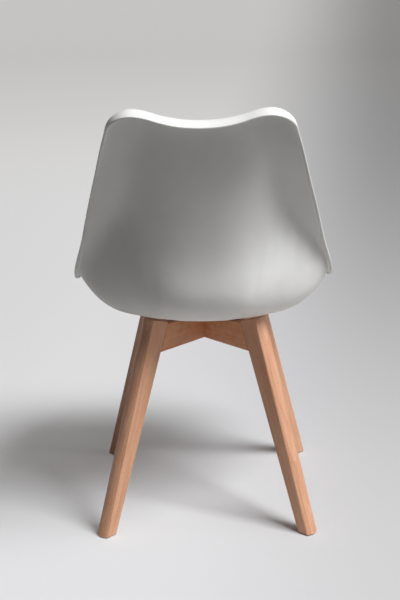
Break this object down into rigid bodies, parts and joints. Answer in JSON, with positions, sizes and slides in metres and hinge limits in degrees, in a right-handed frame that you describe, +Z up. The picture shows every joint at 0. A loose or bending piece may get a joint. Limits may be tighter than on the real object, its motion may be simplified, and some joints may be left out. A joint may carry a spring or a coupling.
{
  "type": "dining chair",
  "caption": "Dining chair with a moulded bucket shell, a soft seat pad, and splayed tapered wooden legs joined by crossed rails.",
  "frame": {"origin": "on the floor, under the middle of the overall box; the rails cross 51 mm in front of it", "axes": "+Z up, +Y towards the back of the chair, +X to the right of someone looking along +Y; the sitter faces -Y"},
  "size_m": [0.488, 0.5753, 0.8372],
  "materials": {
    "shell_plastic": "satin white polypropylene with a very fine mould texture",
    "pad_leather": "soft white coated leathercloth with a fine grain",
    "plywood": "raw birch plywood",
    "beech": "steamed beech under a clear satin lacquer",
    "dowel_wood": "raw beech",
    "black_plastic": "matt black nylon",
    "glide_nylon": "dark brown nylon, slightly scuffed",
    "zinc_steel": "bright zinc plate",
    "insert_brass": "turned brass"
  },
  "bodies": {
    "root": {"bolt_washers": "zinc_steel", "dowels_front_left": "dowel_wood", "dowels_front_right": "dowel_wood", "dowels_rear_left": "dowel_wood", "dowels_rear_right": "dowel_wood", "glide_front_left": "glide_nylon", "glide_front_right": "glide_nylon", "glide_nails": "zinc_steel", "glide_rear_left": "glide_nylon", "glide_rear_right": "glide_nylon", "lap_screw": "zinc_steel", "leg_front_left": "beech", "leg_front_right": "beech", "leg_rear_left": "beech", "leg_rear_right": "beech", "pad_board": "plywood", "pad_screws": "zinc_steel", "rail_lower": "beech", "rail_upper": "beech", "seat_bolts": "zinc_steel", "seat_pad": "pad_leather", "shell": "shell_plastic", "spacer_front_left": "black_plastic", "spacer_front_right": "black_plastic", "spacer_rear_left": "black_plastic", "spacer_rear_right": "black_plastic", "threaded_inserts": "insert_brass"}
  },
  "joints": []
}
